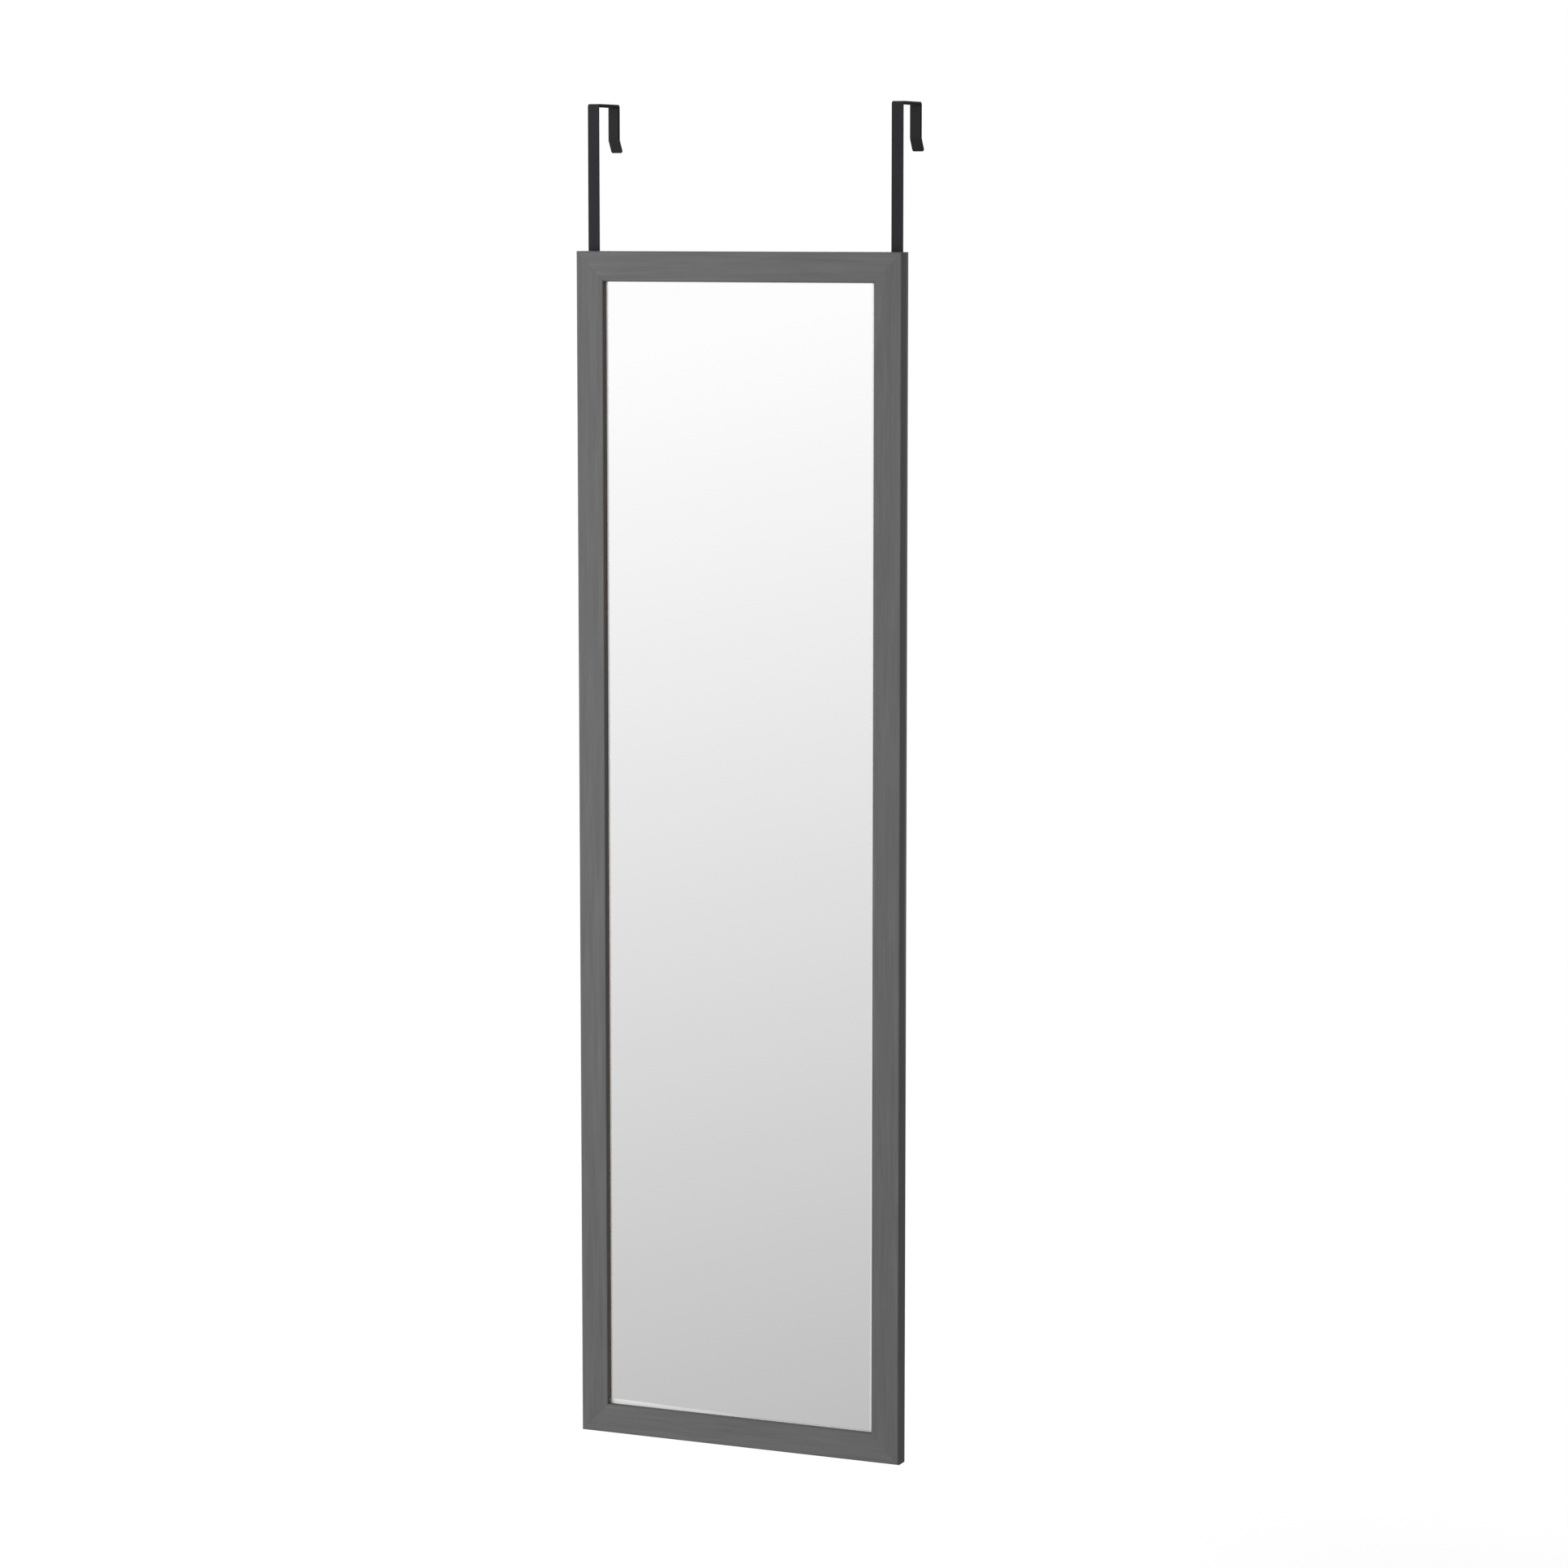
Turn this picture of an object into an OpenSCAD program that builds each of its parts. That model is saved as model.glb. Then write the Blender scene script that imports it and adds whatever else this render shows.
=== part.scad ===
// Over the door mirror: a narrow mitred frame that hangs from a door's top edge on two bent steel straps.
// X runs along the door, Y from the mirror's face towards the door, Z up.
// The origin is on the door's top front edge, midway between the straps, and units are millimetres.

/* [Frame] */
// Width of the frame over its outer edges
frame_w = 350; // [240:5:600]
// Height of the frame over its outer edges
frame_h = 1200; // [600:10:1600]
// Depth of the frame from its front to its back
frame_d = 16; // [15:0.5:30]
// Width of the moulding's face
face_w = 30; // [25:1:60]
// Depth of the lip that stands in front of the glass
lip_d = 4; // [3:0.5:6]
// Width of lip that covers the glass's edge
lip_overlap = 5; // [3:0.5:7]
// Radius of the moulding's two front arrises
arris_r = 2; // [0.5:0.1:2.8]

/* [Glass and backing] */
// Thickness of the mirror glass
glass_t = 3; // [2:0.5:5]
// Thickness of the foam sheet behind the glass
foam_t = 2; // [1:0.5:3]
// Thickness of the hardboard back
board_t = 3; // [2:0.5:5]
// Gap all round between the pane's edge and the rebate's wall
pane_clear = 1; // [0.5:0.1:2]

/* [Hooks] */
// Width of the strap that each hook is bent from
hook_w = 12; // [8:0.5:17]
// Thickness of that strap
hook_t = 2; // [1.8:0.1:3]
// Distance from the frame's side edge to the strap
hook_inset = 6; // [3:0.5:8]
// Height of the door's top edge above the frame
hook_rise = 142; // [60:1:250]
// Clear gap that takes the door's thickness
door_gap = 44; // [30:0.5:60]
// Depth that the back leg reaches below the door's top edge
leg_drop = 45; // [30:1:80]
// Inside radius of the two bends at the top
bend_r = 1; // [0.5:0.1:3]
// Length of the flat flare that guides the hook on
flare_len = 13; // [5:0.5:20]
// Angle of that flare from the back leg
flare_angle = 30; // [10:1:45]
// Inside radius of the flare's bend
flare_r = 3; // [1:0.5:6]
// Corner radius of the strap's two ends
strap_corner_r = 2; // [1:0.1:4]

/* [Pads] */
// Thickness of the foam pads that keep the hooks off the door
pad_t = 1; // [0.5:0.1:2]
// Margin of bare strap round each pad
pad_margin = 0.5; // [0.2:0.1:2]
// Diameter of the bumpers at the frame's lower corners
bumper_d = 12; // [8:0.5:16]
// Height of the bumpers' centres above the frame's lower edge
bumper_rise = 42; // [34:1:150]

/* [Fasteners] */
// Screws in each hook
screw_count = 2; // [1:1:4]
// Distance from the frame's top edge down to the first screw
screw_first = 20; // [14:1:40]
// Distance from one screw to the next
screw_pitch = 25; // [12:1:40]
// Length of strap below the last screw
screw_end = 15; // [8:1:30]
// Shank diameter of the screws
screw_d = 3; // [2.5:0.1:3.5]
// Head diameter of the screws
screw_head_d = 6; // [5:0.1:6.5]
// Length of the screws, heads included
screw_len = 12; // [9:0.5:14]
// Length of the point on each screw and each pilot hole
screw_tip = 2.5; // [1:0.5:4]
// Width of one arm of the cross recess
recess_w = 0.9; // [0.6:0.1:1.2]
// Span of the cross recess from tip to tip
recess_span = 3.4; // [2.5:0.1:4]
// Depth of the cross recess
recess_depth = 1.1; // [0.6:0.1:1.3]
// V nails across each mitre
v_nail_count = 2; // [1:1:2]
// Distance from the outer edges to the first V nail's ridge
v_nail_inset = 5; // [3:0.5:8]
// Distance from one V nail to the next, along each edge
v_nail_pitch = 10; // [8:0.5:12]
// Length of one wing of a V nail
v_nail_wing = 7; // [5:0.5:10]
// Thickness of a V nail's sheet steel
v_nail_t = 0.5; // [0.4:0.1:1]
// Depth that the V nails are driven in
v_nail_depth = 7; // [5:0.5:12]
// Length of a glazing point
point_len = 14; // [12:0.5:18]
// Width of a glazing point
point_w = 6; // [4:0.5:10]
// Thickness of a glazing point
point_t = 0.5; // [0.4:0.1:1]
// Length of a glazing point that is driven into the moulding
point_bite = 6; // [4:0.5:8]
// Widest spacing between glazing points
point_pitch = 200; // [100:10:300]

/* [Hidden] */
$fn = 64;
eps = 0.01;
bend_steps = 12;     // flats in each bend and rounded corner of the straps
screw_clear = 0.2;   // round a shank in the strap's hole
seat_clear = 0.05;   // round a shank in its pilot hole and round a head in its countersink
drive_clear = 0.05;  // round a V nail or a glazing point in the slot that it has driven
head_sink = 0.1;     // a screw's head below the strap's surface

SIDES = [-1, 1];     // left and right, seen from the front

back_y = -hook_t;                        // back of the frame, held off the door by the straps
front_y = back_y - frame_d;
top_z = -hook_rise;
bottom_z = top_z - frame_h;
middle_z = (top_z + bottom_z) / 2;
solid_w = face_w - lip_overlap;          // width of the moulding behind the lip
sight_w = frame_w - 2 * face_w;          // glass that shows
sight_h = frame_h - 2 * face_w;
pane_w = frame_w - 2 * (solid_w + pane_clear);
pane_h = frame_h - 2 * (solid_w + pane_clear);
glass_y = front_y + lip_d;               // front of each sheet in the rebate
foam_y = glass_y + glass_t;
board_y = foam_y + foam_t;
point_y = board_y + board_t;

hook_x = frame_w / 2 - hook_inset - hook_w / 2;
hook_gap = door_gap + pad_t;             // from the front strap to the back leg
bend_z = pad_t - bend_r;                 // centres of the two top bends
tail_z = top_z - screw_first - (screw_count - 1) * screw_pitch - screw_end;
flare_z = -leg_drop + (flare_r + hook_t) * sin(flare_angle) + flare_len * cos(flare_angle);
flare_bend = [hook_gap + hook_t + flare_r, flare_z];   // centre of the flare's bend, as Y and Z
pad_w = hook_w - 2 * pad_margin;
head_h = (screw_head_d - screw_d) / 2;   // a 90 degree countersunk head

// ---- Frame ----

// What a rounded arris takes away from a square one at the origin.
module arris_waste() {
    difference() {
        translate([-eps, -eps]) square(arris_r + eps);
        translate([arris_r, arris_r]) circle(arris_r);
    }
}

// The moulding's section: X is depth from the front, Y is distance in from the outer edge.
module moulding_profile() {
    difference() {
        square([frame_d, face_w]);
        translate([lip_d, solid_w]) square([frame_d, face_w]);
        arris_waste();
        translate([0, face_w]) mirror([0, 1]) arris_waste();
    }
}

// One side of the frame along X, its outer edge on Z = 0, cut at 45 degrees at both ends.
module mitred_member(length) {
    over = 1;
    outer = length / 2 + over;
    inner = length / 2 - face_w - over;
    mitres = [[-outer, -over], [outer, -over], [inner, face_w + over], [-inner, face_w + over]];
    intersection() {
        translate([-length / 2, front_y, 0])
            rotate([90, 0, 90])
                linear_extrude(length) moulding_profile();
        translate([0, back_y + over, 0])
            rotate([90, 0, 0])
                linear_extrude(frame_d + 2 * over) polygon(mitres);
    }
}

// A frame member less the slots and holes of everything driven into it.
module fitted_member() {
    difference() {
        children();
        v_nails(drive_clear);
        glazing_points(drive_clear);
        pilot_holes();
    }
}

module frame_stile(side) {
    color("dimgray")
        fitted_member()
            translate([side * frame_w / 2, 0, middle_z])
                rotate([0, -side * 90, 0]) mitred_member(frame_h);
}

module frame_rail(side) {
    color("gray")
        fitted_member()
            translate([0, 0, middle_z + side * frame_h / 2])
                rotate([0, side > 0 ? 180 : 0, 0]) mitred_member(frame_w);
}

// Bent steel nails driven in across the mitres from behind, each wing along one member.
// Their slots are the same shapes, grown by a clearance.
module v_nail(grow) {
    long = v_nail_wing + 2 * grow;
    wide = v_nail_t + 2 * grow;
    translate([-grow, back_y + grow, -grow])
        rotate([90, 0, 0])
            linear_extrude(v_nail_depth + 2 * grow) {
                square([long, wide]);
                square([wide, long]);
            }
}

module v_nails(grow = 0) {
    color("slategray")
        for (side = SIDES, end = [0, 1], i = [0 : v_nail_count - 1]) {
            place = v_nail_inset + i * v_nail_pitch;
            mirror([side > 0 ? 1 : 0, 0, 0])
                translate([-frame_w / 2, 0, middle_z])
                    mirror([0, 0, end])
                        translate([place, 0, place - frame_h / 2]) v_nail(grow);
        }
}

// ---- Glass and backing ----

module rebate_sheet(front, thickness) {
    translate([-pane_w / 2, front, middle_z - pane_h / 2]) cube([pane_w, thickness, pane_h]);
}

module mirror_pane() {
    color("lightsteelblue") rebate_sheet(glass_y, glass_t);
}

module foam_sheet() {
    color("whitesmoke") rebate_sheet(foam_y, foam_t);
}

module backing_board() {
    color("sienna") rebate_sheet(board_y, board_t);
}

// A row of glazing points along the rebate wall of one member, laid out as mitred_member is.
module point_row(sight, grow) {
    count = max(2, ceil(sight / point_pitch));
    spacing = sight / count;
    start = (spacing - sight - point_w) / 2;
    for (i = [0 : count - 1])
        translate([start + i * spacing - grow, point_y - grow, solid_w - point_bite - grow])
            cube([point_w + 2 * grow, point_t + 2 * grow, point_len + 2 * grow]);
}

module glazing_points(grow = 0) {
    color("silver")
        for (side = SIDES) {
            translate([side * frame_w / 2, 0, middle_z])
                rotate([0, -side * 90, 0]) point_row(sight_h, grow);
            translate([0, 0, middle_z + side * frame_h / 2])
                rotate([0, side > 0 ? 180 : 0, 0]) point_row(sight_w, grow);
        }
}

// ---- Hooks ----

// Points of an arc, from one angle to another.
function arc(centre, r, from, to) = [
    for (i = [0 : bend_steps])
        let (a = from + (to - from) * i / bend_steps)
        centre + r * [cos(a), sin(a)]
];

// The hook seen from its side, where X is the model's Y, and Y is its Z.
// Its outline runs up and over the outside, and back along the inside.
module hook_profile() {
    front_bend = [bend_r, bend_z];
    back_bend = [hook_gap - bend_r, bend_z];
    flare_run = flare_len * [sin(flare_angle), -cos(flare_angle)];
    far_side = arc(flare_bend, flare_r, 180, 180 + flare_angle);
    near_side = arc(flare_bend, flare_r + hook_t, 180 + flare_angle, 180);
    polygon(concat(
        [[-hook_t, tail_z]],
        arc(front_bend, bend_r + hook_t, 180, 90),
        arc(back_bend, bend_r + hook_t, 90, 0),
        far_side,
        [far_side[bend_steps] + flare_run, near_side[0] + flare_run],
        near_side,
        arc(back_bend, bend_r, 0, 90),
        arc(front_bend, bend_r, 90, 180),
        [[0, tail_z]]
    ));
}

// What rounding the strap's end on Z = 0 takes away, through the thickness that ends at this Y.
// The arc's centre is drawn out a little, so that the arc crosses the edges and no sliver is left.
module end_waste(y) {
    over = 1;
    centre = strap_corner_r - 0.05;
    for (side = [0, 1])
        mirror([side, 0, 0])
            translate([-hook_w / 2, y + over, 0])
                rotate([90, 0, 0])
                    linear_extrude(hook_t + 2 * over)
                        polygon(concat(
                            [[-over, centre], [-over, -over], [centre, -over]],
                            arc([centre, centre], strap_corner_r, 270, 180)
                        ));
}

module screw_places(side) {
    for (i = [0 : screw_count - 1])
        translate([side * hook_x, 0, top_z - screw_first - i * screw_pitch]) rotate([90, 0, 0]) children();
}

module hook(side) {
    color("darkslategray")
        difference() {
            translate([side * hook_x, 0, 0])
                difference() {
                    translate([-hook_w / 2, 0, 0])
                        rotate([90, 0, 90]) linear_extrude(hook_w) hook_profile();
                    translate([0, 0, tail_z]) end_waste(0);
                    translate([0, flare_bend[0], flare_bend[1]])
                        rotate([flare_angle, 0, 0]) translate([0, 0, -flare_len]) end_waste(-flare_r);
                }
            screw_places(side) strap_hole();
        }
}

// ---- Screws, drawn along +Z from the strap's surface into the frame ----

module strap_hole() {
    wide = screw_head_d / 2 + head_sink + seat_clear;
    narrow = screw_d / 2 + screw_clear;
    translate([0, 0, -eps]) cylinder(h = hook_t + 2 * eps, r = narrow);
    translate([0, 0, -eps]) cylinder(h = wide - narrow + eps, r1 = wide + eps, r2 = narrow);
}

module pilot_holes() {
    shank = screw_len + head_sink + seat_clear - screw_tip;
    r = screw_d / 2 + seat_clear;
    for (side = SIDES)
        screw_places(side) {
            translate([0, 0, hook_t - eps]) cylinder(h = shank - hook_t + eps, r = r);
            translate([0, 0, shank]) cylinder(h = screw_tip, r1 = r, r2 = seat_clear);
        }
}

module screw() {
    translate([0, 0, head_sink])
        difference() {
            union() {
                cylinder(h = head_h, r1 = screw_head_d / 2, r2 = screw_d / 2);
                cylinder(h = screw_len - screw_tip, r = screw_d / 2);
                translate([0, 0, screw_len - screw_tip]) cylinder(h = screw_tip, r1 = screw_d / 2, r2 = 0);
            }
            for (turn = [0, 90])
                rotate(turn) translate([-recess_span / 2, -recess_w / 2, -eps])
                    cube([recess_span, recess_w, recess_depth + eps]);
        }
}

module hook_screws() {
    color("silver")
        for (side = SIDES)
            screw_places(side) screw();
}

// ---- Pads ----

// Under the strap, where the mirror's weight rests on the door.
module top_pad(side) {
    start = bend_r + pad_margin;
    color("dimgray")
        translate([side * hook_x - pad_w / 2, start, 0]) cube([pad_w, hook_gap - 2 * start, pad_t]);
}

// On the inside of the back leg, against the door's far face.
module leg_pad(side) {
    high = min(bend_z, 0) - pad_margin;
    low = flare_z + pad_margin;
    color("dimgray")
        translate([side * hook_x - pad_w / 2, door_gap, low]) cube([pad_w, pad_t, high - low]);
}

// As thick as the straps, so that the frame hangs parallel to the door.
module bumper(side) {
    color("dimgray")
        translate([side * hook_x, back_y, bottom_z + bumper_rise])
            rotate([-90, 0, 0]) cylinder(h = hook_t, d = bumper_d);
}

frame_stile(-1);  // frame_stile_left
frame_stile(1);  // frame_stile_right
frame_rail(1);  // frame_rail_top
frame_rail(-1);  // frame_rail_bottom
mirror_pane();
foam_sheet();
backing_board();
glazing_points();
v_nails();
hook(-1);  // hook_left
hook(1);  // hook_right
hook_screws();
top_pad(-1);  // top_pad_left
top_pad(1);  // top_pad_right
leg_pad(-1);  // leg_pad_left
leg_pad(1);  // leg_pad_right
bumper(-1);  // bumper_left
bumper(1);  // bumper_right
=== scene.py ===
# %% [markdown]
# # An over the door mirror
#
# The real thing is a narrow frame that hangs from the top edge of a door on two bent steel straps. Its
# construction was drawn first, as solids at their real size, and those solids are loaded here as a fixed
# frame of reference. This lesson adds what the eye sees: finishes, lights, and the small pieces whose
# shape shows up close. Everything is in metres. X runs along the door, Y from the mirror towards the
# door, Z up, and the origin is on the door's top front edge.

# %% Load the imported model
import math

import bmesh
import bpy
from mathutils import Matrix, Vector


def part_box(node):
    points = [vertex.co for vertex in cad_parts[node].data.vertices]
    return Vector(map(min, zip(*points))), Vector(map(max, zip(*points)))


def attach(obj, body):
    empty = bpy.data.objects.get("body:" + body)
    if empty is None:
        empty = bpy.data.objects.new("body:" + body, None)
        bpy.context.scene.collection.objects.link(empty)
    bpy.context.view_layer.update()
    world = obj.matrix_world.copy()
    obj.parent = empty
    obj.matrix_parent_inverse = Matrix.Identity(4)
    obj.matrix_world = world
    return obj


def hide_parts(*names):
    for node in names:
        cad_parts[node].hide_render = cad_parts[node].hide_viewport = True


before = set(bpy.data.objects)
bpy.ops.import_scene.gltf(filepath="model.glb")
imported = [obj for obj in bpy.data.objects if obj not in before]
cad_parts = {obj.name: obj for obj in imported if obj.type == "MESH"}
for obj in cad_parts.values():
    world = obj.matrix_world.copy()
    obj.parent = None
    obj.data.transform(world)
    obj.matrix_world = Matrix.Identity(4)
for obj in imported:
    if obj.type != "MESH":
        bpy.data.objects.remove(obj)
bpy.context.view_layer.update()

print("solids loaded:", len(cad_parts))

# %% [markdown]
# ## Measures
#
# The moulding, the rebate and the straps are measured off the solids, so that the lesson still fits when
# somebody changes a size in the drawing and builds it again. Only what the solids don't say, such as the
# size of a wood grain, is written here as a number.

# %% Read the main measures off the solids
MM = 0.001

stile_low, stile_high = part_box("frame_stile_left")
pane_low, pane_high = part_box("mirror_pane")

FRONT = stile_low.y
BACK = stile_high.y
DEEP = BACK - FRONT
HALF_WIDTH = -stile_low.x
HALF_HEIGHT = (stile_high.z - stile_low.z) / 2
MIDDLE = (stile_high.z + stile_low.z) / 2
FACE = stile_high.x - stile_low.x
LIP = pane_low.y - FRONT

print(f"frame {2 * HALF_WIDTH / MM:.0f} x {2 * HALF_HEIGHT / MM:.0f} x {DEEP / MM:.0f} mm")
print(f"moulding {FACE / MM:.0f} mm wide, with a lip {LIP / MM:.0f} mm deep")

# %% [markdown]
# ## Camera
#
# The picture was taken from the right, from just above the top of the frame, with a long lens. The place
# and the lens were worked out from the frame's corners: the upright edges stay parallel to the picture's
# sides, and the lower edge climbs away to the left far more than the upper one does, which fixes the
# height of the eye. A camera looks along its own -Z, so it is first tipped up to the horizon and then
# down again by the tilt, and last turned to the left.

# %% Set up the camera
CAMERA_PLACE = (1.890, -4.232, -0.105)
CAMERA_TURN = math.radians(23.58)
CAMERA_TILT = math.radians(6.94)
CAMERA_LENS = 107.6

camera = bpy.data.objects.new("camera", bpy.data.cameras.new("camera"))
bpy.context.scene.collection.objects.link(camera)
bpy.context.scene.camera = camera
camera.data.sensor_width = 36
camera.data.lens = CAMERA_LENS
camera.location = CAMERA_PLACE
camera.rotation_euler = (math.pi / 2 - CAMERA_TILT, 0, CAMERA_TURN)
bpy.context.scene.view_settings.view_transform = "Standard"
print(f"camera {Vector(CAMERA_PLACE).length:.2f} m from the hooks, lens {CAMERA_LENS:.0f} mm")

# %% [markdown]
# ## Writing finishes as arithmetic
#
# A finish is a small program made of nodes. Wiring each node by hand hides the idea behind the wiring, so
# two short classes let the finish be written as an expression. A `Wire` is the output of a node, and
# adding, multiplying or comparing wires puts in the Math nodes. A `Recipe` is the node tree, and its one
# method adds any other kind of node. The same pair serves materials, the world and Geometry Nodes.

# %% Define the wires and the recipe
class Wire:
    """The output of a node. Arithmetic on it adds Math nodes to its recipe."""

    def __init__(self, recipe, socket):
        self.recipe = recipe
        self.socket = socket

    def out(self, name):
        """Another output of the same node."""
        return Wire(self.recipe, self.socket.node.outputs[name])

    def math(self, operation, *values):
        """A Math node on this wire and other values."""
        values = dict(enumerate((self, *values)))
        return self.recipe.add("ShaderNodeMath", {"operation": operation}, values)

    def __add__(self, other):
        return self.math("ADD", other)

    def __sub__(self, other):
        return self.math("SUBTRACT", other)

    def __rsub__(self, other):
        return self.math("MULTIPLY", -1.0).math("ADD", other)

    def __mul__(self, other):
        return self.math("MULTIPLY", other)

    def __abs__(self):
        return self.math("ABSOLUTE")

    def __lt__(self, other):
        return self.math("LESS_THAN", other)

    def __gt__(self, other):
        return self.math("GREATER_THAN", other)

    __radd__ = __add__
    __rmul__ = __mul__


class Recipe:
    """A node tree and the one method that adds a node to it."""

    def __init__(self, tree):
        self.tree = tree
        tree.nodes.clear()

    def add(self, kind, settings=None, inputs=None, output=0):
        """Adds a node, sets it, feeds its sockets with values or wires, and gives back one output."""
        node = self.tree.nodes.new(kind)
        for name, value in (settings or {}).items():
            setattr(node, name, value)
        for name, value in (inputs or {}).items():
            for part in value if isinstance(value, list) else [value]:
                if isinstance(part, Wire):
                    self.tree.links.new(part.socket, node.inputs[name])
                else:
                    node.inputs[name].default_value = part
        return Wire(self, node.outputs[output]) if node.outputs else None


print("wires and recipes are ready")

# %% [markdown]
# ## Helpers that every finish uses
#
# Each finish reads Object coordinates. All the objects sit at the origin with their place in their mesh,
# so these coordinates are metres on the real mirror, and a grain given as so many per metre has its true
# size. Noise is stretched by multiplying the coordinates, which makes long grains along the axis with the
# smallest number. Foil, foam and powder coat share one low sheen.

# %% Define the helpers for finishes
LOW_SHEEN = 0.25


def new_finish(name):
    """A material with an empty recipe, and the place on the object as a wire."""
    material = bpy.data.materials.new(name)
    material.use_nodes = True
    recipe = Recipe(material.node_tree)
    place = recipe.add("ShaderNodeTexCoord").out("Object")
    return material, recipe, place


def coordinates(recipe, place):
    """X, Y and Z of a place, as three wires."""
    split = recipe.add("ShaderNodeSeparateXYZ", inputs={0: place})
    return split.out("X"), split.out("Y"), split.out("Z")


def stretched(recipe, place, per_metre):
    """A place counted in grains, with so many to the metre along X, Y and Z."""
    return recipe.add("ShaderNodeVectorMath", {"operation": "MULTIPLY"}, {0: place, 1: per_metre})


def even(count):
    """The same number of grains to the metre along X, Y and Z."""
    return count, count, count


def noise(recipe, place, per_metre, detail=2.0, distortion=0.0):
    """Noise from 0 to 1, mostly near its middle."""
    grains = stretched(recipe, place, per_metre)
    inputs = {"Vector": grains, "Scale": 1.0, "Detail": detail, "Distortion": distortion}
    return recipe.add("ShaderNodeTexNoise", inputs=inputs)


def cells(recipe, place, per_metre):
    """The distance to the nearest of many scattered points, which looks like the pores of foam."""
    grains = stretched(recipe, place, even(per_metre))
    return recipe.add("ShaderNodeTexVoronoi", inputs={"Vector": grains, "Scale": 1.0})


def ramp(recipe, value, start, end, low=0.0, high=1.0):
    """Turns smoothly from low to high while the value goes from start to end."""
    inputs = {"Value": value, "From Min": start, "From Max": end, "To Min": low, "To Max": high}
    return recipe.add("ShaderNodeMapRange", {"interpolation_type": "SMOOTHSTEP"}, inputs)


def mixed(recipe, share, first, second):
    """A colour between two colours."""
    return recipe.add("ShaderNodeMix", {"data_type": "RGBA"}, {0: share, 6: first, 7: second}, output=2)


def toned(recipe, colour, tone):
    """A colour made darker or lighter by a wire that is near 1."""
    inputs = {0: colour[:3], "Scale": tone}
    return recipe.add("ShaderNodeVectorMath", {"operation": "SCALE"}, inputs)


def relief(recipe, height, deepest):
    """Small ups and downs: a height from 0 to 1, whose full depth is given in metres."""
    return recipe.add("ShaderNodeBump", inputs={"Distance": deepest, "Height": height})


def end_finish(recipe, **inputs):
    """Ends a recipe with the surface shader."""
    named = {name.replace("_", " "): value for name, value in inputs.items()}
    shader = recipe.add("ShaderNodeBsdfPrincipled", inputs=named)
    recipe.add("ShaderNodeOutputMaterial", inputs={"Surface": shader})


print("helpers for finishes are ready")

# %% [markdown]
# ## Studio light
#
# A mirror shows the room, so its picture is mostly a picture of the studio. The glass in the photograph
# goes from white at the top to a mid grey at the bottom, because its lower part looks further down. The
# world therefore answers three ways. Seen straight, it is white. Seen in metal or glass, it is white
# above the horizon and falls off below it, and it is in shade behind the mirror on the right, which
# keeps the frame's right side dark. Further down it is paler again, as the floor at one's feet is, so
# that the glass isn't one flat grey when it is seen from above. For everything that it lights, it is one
# even grey.
#
# Two broad lamps do the rest, one in front on the left and one behind on the left, which leaves the right
# side of the frame in half shade. They are hidden from reflections, as a photographer hides lamps behind
# the edge of a mirror's view.

# %% Light the studio
ROOM_LIGHT = 0.30
WHITE_FROM = -0.025
FALL_OFF = 2.00
DARKEST = 0.50
PALER_FROM = -0.25
PALEST_AT = -0.95
PALEST = 0.85
GRADIENT_AXIS = (-0.21, 0.094, 1.0)
SHADE_TOWARDS = (0.40, 0.92, 0.0)
SHADE_START = 0.45
SHADE_END = 0.90
SHADE_LEFT = 0.30
FRONT_LAMP = {"place": (-1.45, -1.90, -0.45), "size": 1.6, "power": 49.0}
BACK_LAMP = {"place": (-1.30, 2.30, -0.30), "size": 1.6, "power": 42.0}


def light_world():
    """The world that metal and glass mirror, and that lights everything evenly."""
    world = bpy.data.worlds.new("studio")
    world.use_nodes = True
    recipe = Recipe(world.node_tree)
    rays = recipe.add("ShaderNodeLightPath")
    direction = recipe.add("ShaderNodeTexCoord").out("Generated")
    dot = {0: direction, 1: GRADIENT_AXIS}
    height = recipe.add("ShaderNodeVectorMath", {"operation": "DOT_PRODUCT"}, dot, output="Value")
    below = (height - WHITE_FROM).math("MINIMUM", 0.0)
    towards = {0: direction, 1: SHADE_TOWARDS}
    shade = recipe.add("ShaderNodeVectorMath", {"operation": "DOT_PRODUCT"}, towards, output="Value")
    flag = ramp(recipe, shade, SHADE_START, SHADE_END, 1.0, SHADE_LEFT)
    near_feet = ramp(recipe, height, PALEST_AT, PALER_FROM, PALEST, DARKEST)
    mirrored = (1.0 + below * FALL_OFF).math("MAXIMUM", near_feet) * flag
    in_mirror = rays.out("Is Glossy Ray").math("MAXIMUM", rays.out("Is Transmission Ray"))
    lit = ROOM_LIGHT + in_mirror * (mirrored - ROOM_LIGHT)
    seen = rays.out("Is Camera Ray")
    strength = seen + (1.0 - seen) * lit
    white = {"Color": (1.0, 1.0, 1.0, 1.0), "Strength": strength}
    background = recipe.add("ShaderNodeBackground", inputs=white)
    recipe.add("ShaderNodeOutputWorld", inputs={"Surface": background})
    bpy.context.scene.world = world


def soft_lamp(name, place, size, power):
    """A square lamp that faces the middle of the mirror and shows in no reflection."""
    lamp = bpy.data.objects.new(name, bpy.data.lights.new(name, "AREA"))
    bpy.context.scene.collection.objects.link(lamp)
    lamp.data.size = size
    lamp.data.energy = power
    lamp.location = place
    aim = Vector((0, 0, MIDDLE)) - lamp.location
    lamp.rotation_euler = aim.to_track_quat("-Z", "Y").to_euler()
    lamp.visible_camera = False
    lamp.visible_glossy = False
    lamp.visible_transmission = False


light_world()
soft_lamp("front_lamp", **FRONT_LAMP)
soft_lamp("back_lamp", **BACK_LAMP)
print("lamps: 2, and a world that is white to the camera")

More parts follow.
